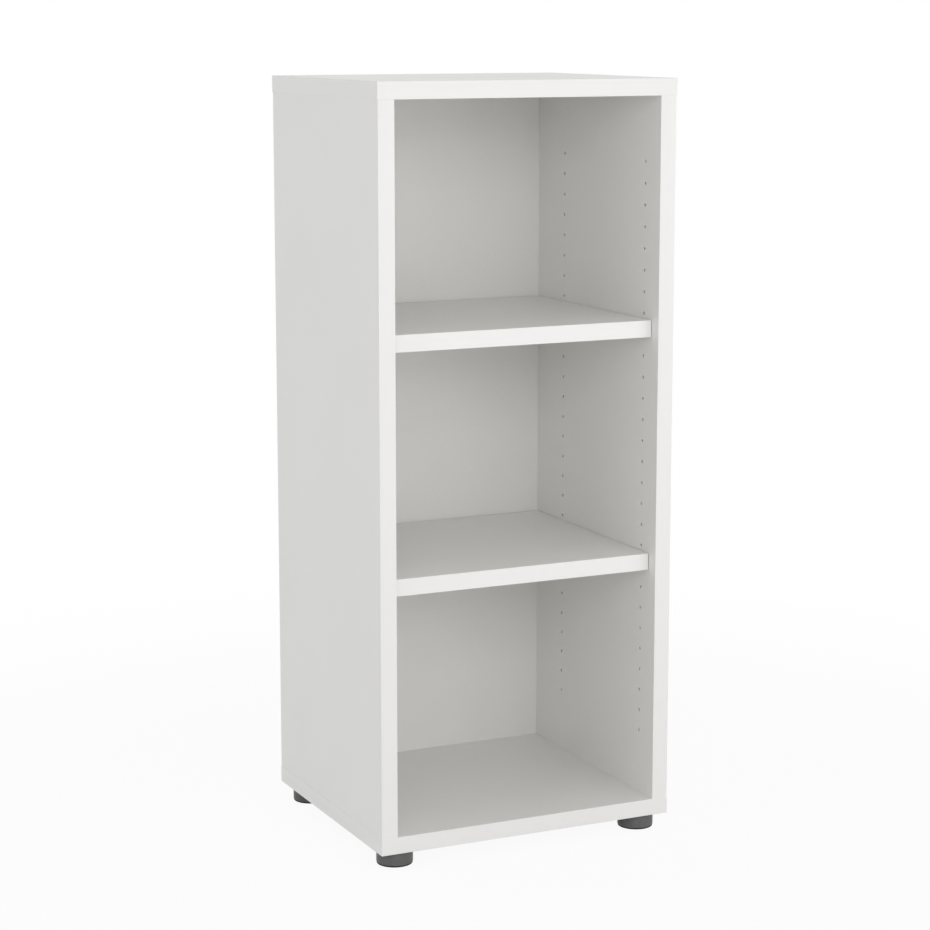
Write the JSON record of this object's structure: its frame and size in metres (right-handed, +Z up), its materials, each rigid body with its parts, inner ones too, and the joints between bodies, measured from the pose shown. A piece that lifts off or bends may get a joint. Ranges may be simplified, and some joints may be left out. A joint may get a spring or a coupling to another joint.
{
  "type": "three-bay bookcase",
  "caption": "Tall, narrow free-standing bookcase: white board case, removable shelves on pins, open front, thin back and round levelling feet.",
  "frame": {"origin": "on the floor, under the middle of the case", "axes": "+X to the right seen from the open front, +Y to the back, +Z up; the open front faces -Y"},
  "size_m": [0.4736, 0.4016, 1.132],
  "materials": {
    "white_board": "chipboard faced with white melamine, very fine pearl texture, satin",
    "white_edge_band": "white plastic edge band, smooth satin, fine lengthwise mill lines",
    "white_hardboard": "thin fibreboard, white lacquered, faint orange peel",
    "nickel_steel": "nickel-plated steel, satin",
    "zinc": "bright zinc, slightly dull",
    "yellow_zinc": "yellow passivated zinc on steel",
    "white_cap": "white moulded plastic, smooth",
    "beech": "plain turned beech",
    "grey_plastic": "dark grey moulded plastic, satin",
    "dark_glide": "near-black plastic glide, matt"
  },
  "bodies": {
    "carcass": {"top_panel": "white_board", "bottom_panel": "white_board", "left_side": "white_board", "right_side": "white_board", "back_panel": "white_hardboard", "top_edge_band": "white_edge_band", "bottom_edge_band": "white_edge_band", "left_edge_band": "white_edge_band", "right_edge_band": "white_edge_band", "upper_support_front_left": "nickel_steel", "upper_support_front_right": "nickel_steel", "upper_support_rear_left": "nickel_steel", "upper_support_rear_right": "nickel_steel", "lower_support_front_left": "nickel_steel", "lower_support_front_right": "nickel_steel", "lower_support_rear_left": "nickel_steel", "lower_support_rear_right": "nickel_steel", "cam_locks": "zinc", "cam_bolts": "yellow_zinc", "cam_covers": "white_cap", "dowels": "beech", "foot_sockets": "yellow_zinc"},
    "upper_shelf_board": {"upper_shelf": "white_board", "upper_shelf_band": "white_edge_band"},
    "lower_shelf_board": {"lower_shelf": "white_board", "lower_shelf_band": "white_edge_band"},
    "pad_front_left": {"glide_front_left": "dark_glide"},
    "leveller_front_left": {"foot_front_left": "grey_plastic", "stud_front_left": "zinc"},
    "pad_front_right": {"glide_front_right": "dark_glide"},
    "leveller_front_right": {"foot_front_right": "grey_plastic", "stud_front_right": "zinc"},
    "pad_rear_left": {"glide_rear_left": "dark_glide"},
    "leveller_rear_left": {"foot_rear_left": "grey_plastic", "stud_rear_left": "zinc"},
    "pad_rear_right": {"glide_rear_right": "dark_glide"},
    "leveller_rear_right": {"foot_rear_right": "grey_plastic", "stud_rear_right": "zinc"}
  },
  "joints": [
    {"name": "upper_shelf_slide", "type": "slide", "parent": "carcass", "child": "upper_shelf_board", "axis": [0, -1, 0], "range_m": [0, 0.39]},
    {"name": "lower_shelf_slide", "type": "slide", "parent": "carcass", "child": "lower_shelf_board", "axis": [0, -1, 0], "range_m": [0, 0.39]},
    {"name": "front_left_foot_travel", "type": "slide", "parent": "carcass", "child": "pad_front_left", "axis": [0, 0, -1], "range_m": [0, 0.012]},
    {"name": "front_left_foot_turn", "type": "hinge", "parent": "pad_front_left", "child": "leveller_front_left", "pos_m": [-0.201, -0.165, 0.012], "axis": [0, 0, -1], "range_deg": [0, 2880]},
    {"name": "front_right_foot_travel", "type": "slide", "parent": "carcass", "child": "pad_front_right", "axis": [0, 0, -1], "range_m": [0, 0.012]},
    {"name": "front_right_foot_turn", "type": "hinge", "parent": "pad_front_right", "child": "leveller_front_right", "pos_m": [0.201, -0.165, 0.012], "axis": [0, 0, -1], "range_deg": [0, 2880]},
    {"name": "rear_left_foot_travel", "type": "slide", "parent": "carcass", "child": "pad_rear_left", "axis": [0, 0, -1], "range_m": [0, 0.012]},
    {"name": "rear_left_foot_turn", "type": "hinge", "parent": "pad_rear_left", "child": "leveller_rear_left", "pos_m": [-0.201, 0.165, 0.012], "axis": [0, 0, -1], "range_deg": [0, 2880]},
    {"name": "rear_right_foot_travel", "type": "slide", "parent": "carcass", "child": "pad_rear_right", "axis": [0, 0, -1], "range_m": [0, 0.012]},
    {"name": "rear_right_foot_turn", "type": "hinge", "parent": "pad_rear_right", "child": "leveller_rear_right", "pos_m": [0.201, 0.165, 0.012], "axis": [0, 0, -1], "range_deg": [0, 2880]}
  ],
  "couplings": [
    {"joint": "front_left_foot_travel", "follows": "front_left_foot_turn", "m_per_rad": 0.0002387},
    {"joint": "front_right_foot_travel", "follows": "front_right_foot_turn", "m_per_rad": 0.0002387},
    {"joint": "rear_left_foot_travel", "follows": "rear_left_foot_turn", "m_per_rad": 0.0002387},
    {"joint": "rear_right_foot_travel", "follows": "rear_right_foot_turn", "m_per_rad": 0.0002387}
  ]
}
